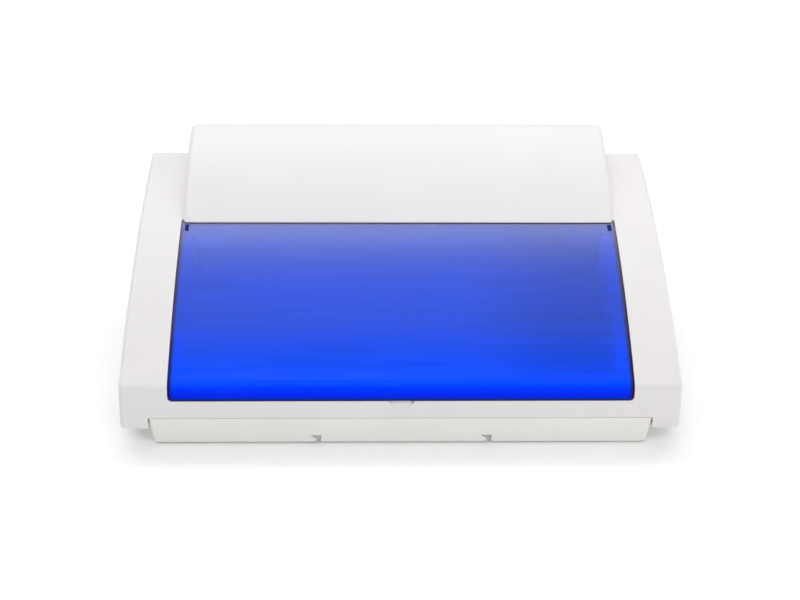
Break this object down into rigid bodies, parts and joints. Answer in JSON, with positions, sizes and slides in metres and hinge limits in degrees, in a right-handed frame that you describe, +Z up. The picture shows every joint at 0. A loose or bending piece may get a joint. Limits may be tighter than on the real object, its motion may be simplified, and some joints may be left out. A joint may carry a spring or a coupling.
{
  "type": "uv-c sterilizer",
  "caption": "Countertop ultraviolet steriliser: white moulded casing with side wings and rear hood, clear blue lift-up lid over a stainless chamber with a tube lamp.",
  "frame": {"origin": "on the table, in the middle of the footprint", "axes": "+X to the right seen from the front, +Y to the back, +Z up"},
  "size_m": [0.4328, 0.25, 0.1657],
  "materials": {
    "casing_white": "fine satin moulded",
    "lid_blue": "clear blue acrylic, polished",
    "stainless": "brushed",
    "plated_steel": "zinc plated",
    "lamp_glass": "clear quartz glass",
    "aluminium": "satin",
    "socket_white": "matt",
    "ballast_enamel": "enamel",
    "black_plastic": "fine matt",
    "brass": "plated",
    "rubber": "matt"
  },
  "bodies": {
    "housing": {"top_casing": "casing_white", "base_tray": "casing_white", "hood": "casing_white", "chamber_liner": "stainless", "lamp_reflector": "stainless", "hinge_pin_left": "plated_steel", "hinge_pin_right": "plated_steel", "base_screw_1": "plated_steel", "base_screw_2": "plated_steel", "base_screw_3": "plated_steel", "base_screw_4": "plated_steel", "hood_screw_1": "plated_steel", "hood_screw_2": "plated_steel", "hood_screw_3": "plated_steel", "hood_screw_4": "plated_steel", "lamp_socket_left": "socket_white", "lamp_socket_right": "socket_white", "starter": "socket_white", "starter_holder": "socket_white", "terminal_block": "socket_white", "ballast": "ballast_enamel", "interlock_switch": "black_plastic", "switch_frame": "black_plastic", "power_inlet": "black_plastic", "inlet_pin_left": "brass", "inlet_pin_right": "brass", "foot_1": "rubber", "foot_2": "rubber", "foot_3": "rubber", "foot_4": "rubber"},
    "lid": {"lid": "lid_blue"},
    "lamp": {"lamp_tube": "lamp_glass", "lamp_cap_left": "aluminium", "lamp_cap_right": "aluminium", "socket_rotor_left": "socket_white", "socket_rotor_right": "socket_white"},
    "plunger": {"interlock_plunger": "socket_white"},
    "rocker": {"power_rocker": "black_plastic"}
  },
  "joints": [
    {"name": "lid_hinge", "type": "hinge", "parent": "housing", "child": "lid", "pos_m": [0, 0.013, 0.11042], "axis": [-1, 0, 0], "range_deg": [0, 120]},
    {"name": "interlock_slide", "type": "slide", "parent": "housing", "child": "plunger", "axis": [0, 0, 1], "range_m": [0, 0.0015]},
    {"name": "lamp_twist", "type": "hinge", "parent": "housing", "child": "lamp", "pos_m": [0, 0.046, 0.1035], "axis": [1, 0, 0], "range_deg": [0, 90]},
    {"name": "power_rocker_tilt", "type": "hinge", "parent": "housing", "child": "rocker", "pos_m": [0.104, 0.1175, 0.062], "axis": [-1, 0, 0], "range_deg": [0, 18]}
  ],
  "couplings": [
    {"joint": "interlock_slide", "follows": "lid_hinge", "m_per_rad": 0.000716}
  ]
}
